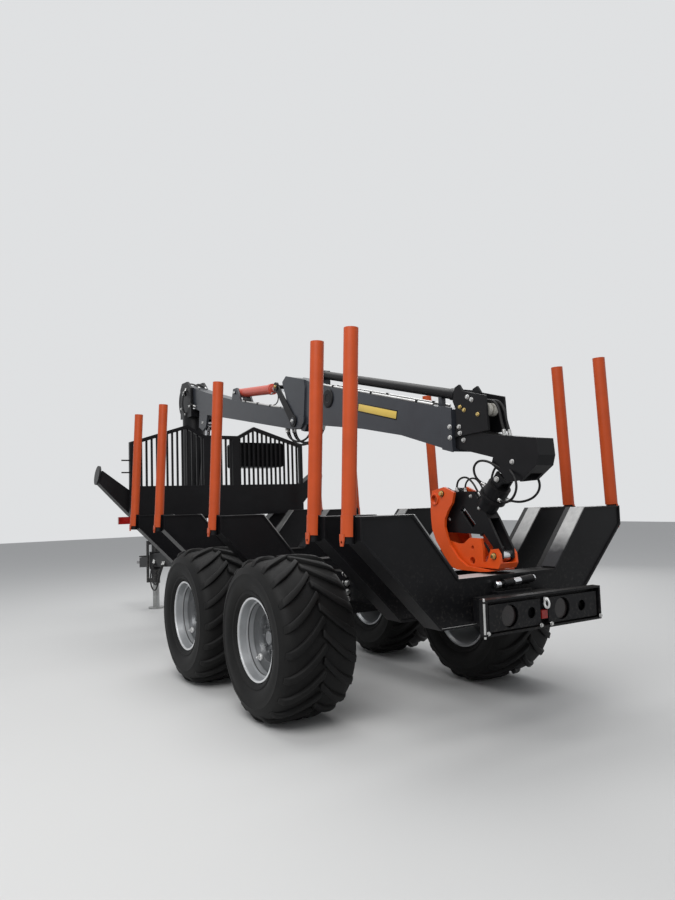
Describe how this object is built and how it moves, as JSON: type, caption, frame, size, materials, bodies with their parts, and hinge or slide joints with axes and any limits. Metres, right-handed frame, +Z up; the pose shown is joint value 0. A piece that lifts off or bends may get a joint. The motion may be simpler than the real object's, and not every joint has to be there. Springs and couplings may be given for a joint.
{
  "type": "forestry trailer",
  "caption": "Tandem-bogie forestry trailer with bunks and round stakes, a headboard, folding outriggers and a loading crane with grapple laid back over the load space.",
  "frame": {"origin": "on the ground under the middle of the overall length, on the centre line", "axes": "+X to the tractor along the trailer, +Y to the left, +Z up"},
  "size_m": [8.66, 2.9558, 3.2],
  "materials": {
    "black_paint": "satin",
    "dark_grey_paint": "satin",
    "orange_paint": "satin",
    "red_paint": "gloss",
    "silver_paint": "satin",
    "nylon": "satin",
    "rubber": "matt",
    "galvanised": "satin",
    "bare_steel": "satin",
    "chrome": "polished",
    "red_lamp": "gloss"
  },
  "bodies": {
    "chassis": {"main_frame": "black_paint", "drawbar": "black_paint", "tow_eye": "bare_steel", "parking_jack": "black_paint", "cross_axle": "black_paint", "bogie_beam_left": "black_paint", "bogie_beam_right": "black_paint", "rear_bumper": "black_paint", "rear_lamps": "red_lamp", "bunk_rear": "black_paint", "bunk_second": "black_paint", "bunk_middle": "black_paint", "bunk_fourth": "black_paint", "bunk_front": "black_paint", "bunk_wear_plates": "galvanised", "stakes_left": "orange_paint", "stakes_right": "orange_paint", "headboard_grid": "black_paint", "headboard_panel": "black_paint", "oil_tank": "black_paint", "outrigger_beam": "black_paint", "crane_base": "black_paint", "marker_lamps": "red_lamp"},
    "wheel_left_rear": {"tyre_left_rear": "rubber", "rim_left_rear": "silver_paint"},
    "wheel_left_front": {"tyre_left_front": "rubber", "rim_left_front": "silver_paint"},
    "wheel_right_rear": {"tyre_right_rear": "rubber", "rim_right_rear": "silver_paint"},
    "wheel_right_front": {"tyre_right_front": "rubber", "rim_right_front": "silver_paint"},
    "outrigger_left": {"outrigger_left": "black_paint"},
    "outrigger_right": {"outrigger_right": "black_paint"},
    "column": {"crane_column": "black_paint"},
    "boom": {"main_boom": "dark_grey_paint"},
    "lift_barrel": {"lift_cylinder": "black_paint"},
    "lift_piston": {"lift_rod": "chrome"},
    "jib": {"jib": "dark_grey_paint", "extension_cylinder": "black_paint", "knuckle_links": "black_paint"},
    "jib_barrel": {"jib_cylinder": "red_paint"},
    "jib_piston": {"jib_rod": "chrome"},
    "extension": {"extension": "black_paint", "extension_rod": "chrome", "hose_rollers": "nylon"},
    "link": {"swing_link": "black_paint"},
    "rotator_head": {"rotator": "black_paint"},
    "grapple": {"grapple_frame": "black_paint", "grapple_cylinder": "chrome"},
    "jaw_front": {"grapple_jaw_front": "orange_paint"},
    "jaw_rear": {"grapple_jaw_rear": "orange_paint"}
  },
  "joints": [
    {"name": "wheel_left_rear_spin", "type": "hinge", "parent": "chassis", "child": "wheel_left_rear", "pos_m": [-2.6515, 0.965, 0.585], "axis": [0, 1, 0], "continuous": true},
    {"name": "wheel_left_front_spin", "type": "hinge", "parent": "chassis", "child": "wheel_left_front", "pos_m": [-1.2225, 0.965, 0.585], "axis": [0, 1, 0], "continuous": true},
    {"name": "wheel_right_rear_spin", "type": "hinge", "parent": "chassis", "child": "wheel_right_rear", "pos_m": [-2.6515, -0.965, 0.585], "axis": [0, 1, 0], "continuous": true},
    {"name": "wheel_right_front_spin", "type": "hinge", "parent": "chassis", "child": "wheel_right_front", "pos_m": [-1.2225, -0.965, 0.585], "axis": [0, 1, 0], "continuous": true},
    {"name": "outrigger_left_fold", "type": "hinge", "parent": "chassis", "child": "outrigger_left", "pos_m": [1, 0.48, 1.1], "axis": [-1, 0, 0], "range_deg": [0, 99]},
    {"name": "outrigger_right_fold", "type": "hinge", "parent": "chassis", "child": "outrigger_right", "pos_m": [1, -0.48, 1.1], "axis": [1, 0, 0], "range_deg": [0, 99]},
    {"name": "crane_slew", "type": "hinge", "parent": "chassis", "child": "column", "pos_m": [1.77, 0, 0], "axis": [0, 0, 1], "range_deg": [-190, 190]},
    {"name": "boom_lift", "type": "hinge", "parent": "column", "child": "boom", "pos_m": [1.77, 0, 3.05], "axis": [0, 1, 0], "range_deg": [0, 78]},
    {"name": "lift_cylinder_swing", "type": "hinge", "parent": "column", "child": "lift_barrel", "pos_m": [1.52, 0, 1.48], "axis": [0, 1, 0], "range_deg": [-10, 10]},
    {"name": "lift_cylinder_stroke", "type": "slide", "parent": "lift_barrel", "child": "lift_piston", "axis": [-0.2425, 0, 0.9701], "range_m": [0, 0.95]},
    {"name": "jib_fold", "type": "hinge", "parent": "boom", "child": "jib", "pos_m": [-1.27, 0, 2.345], "axis": [0, -1, 0], "range_deg": [0, 140]},
    {"name": "jib_cylinder_swing", "type": "hinge", "parent": "boom", "child": "jib_barrel", "pos_m": [0.21, 0, 2.84], "axis": [0, 1, 0], "range_deg": [-10, 15]},
    {"name": "jib_cylinder_stroke", "type": "slide", "parent": "jib_barrel", "child": "jib_piston", "axis": [-0.9958, 0, -0.0919], "range_m": [0, 0.62]},
    {"name": "jib_extension", "type": "slide", "parent": "jib", "child": "extension", "axis": [-0.9713, 0, -0.238], "range_m": [0, 1.4]},
    {"name": "link_swing", "type": "hinge", "parent": "extension", "child": "link", "pos_m": [-4.11, 0, 1.77], "axis": [0, 1, 0], "range_deg": [-20, 110]},
    {"name": "rotator_swing", "type": "hinge", "parent": "link", "child": "rotator_head", "pos_m": [-3.95, 0, 1.665], "axis": [0, 1, 0], "range_deg": [-60, 60]},
    {"name": "rotator_spin", "type": "hinge", "parent": "rotator_head", "child": "grapple", "pos_m": [-3.68, 0, 1.37], "axis": [-0.6756, 0, 0.7373], "range_deg": [-180, 180]},
    {"name": "jaw_front_open", "type": "hinge", "parent": "grapple", "child": "jaw_front", "pos_m": [-3.457, 0, 1.584], "axis": [0, -1, 0], "range_deg": [0, 70]},
    {"name": "jaw_rear_open", "type": "hinge", "parent": "grapple", "child": "jaw_rear", "pos_m": [-3.915, 0, 1.165], "axis": [0, 1, 0], "range_deg": [0, 70]}
  ],
  "couplings": [
    {"joint": "crane_slew", "follows": "boom_lift", "ratio": -0.3},
    {"joint": "lift_cylinder_swing", "follows": "boom_lift", "ratio": 0.0356},
    {"joint": "lift_cylinder_stroke", "follows": "boom_lift", "m_per_rad": 0.6536},
    {"joint": "jib_fold", "follows": "boom_lift", "ratio": 0.8},
    {"joint": "jib_cylinder_swing", "follows": "boom_lift", "ratio": 0.0869},
    {"joint": "jib_cylinder_stroke", "follows": "boom_lift", "m_per_rad": 0.3643},
    {"joint": "jib_extension", "follows": "boom_lift", "m_per_rad": 0.7},
    {"joint": "link_swing", "follows": "boom_lift", "ratio": 0.741},
    {"joint": "rotator_swing", "follows": "boom_lift", "ratio": -0.522},
    {"joint": "rotator_spin", "follows": "boom_lift", "ratio": 1.15},
    {"joint": "jaw_front_open", "follows": "boom_lift", "ratio": 0.88},
    {"joint": "jaw_rear_open", "follows": "boom_lift", "ratio": 0.5}
  ]
}
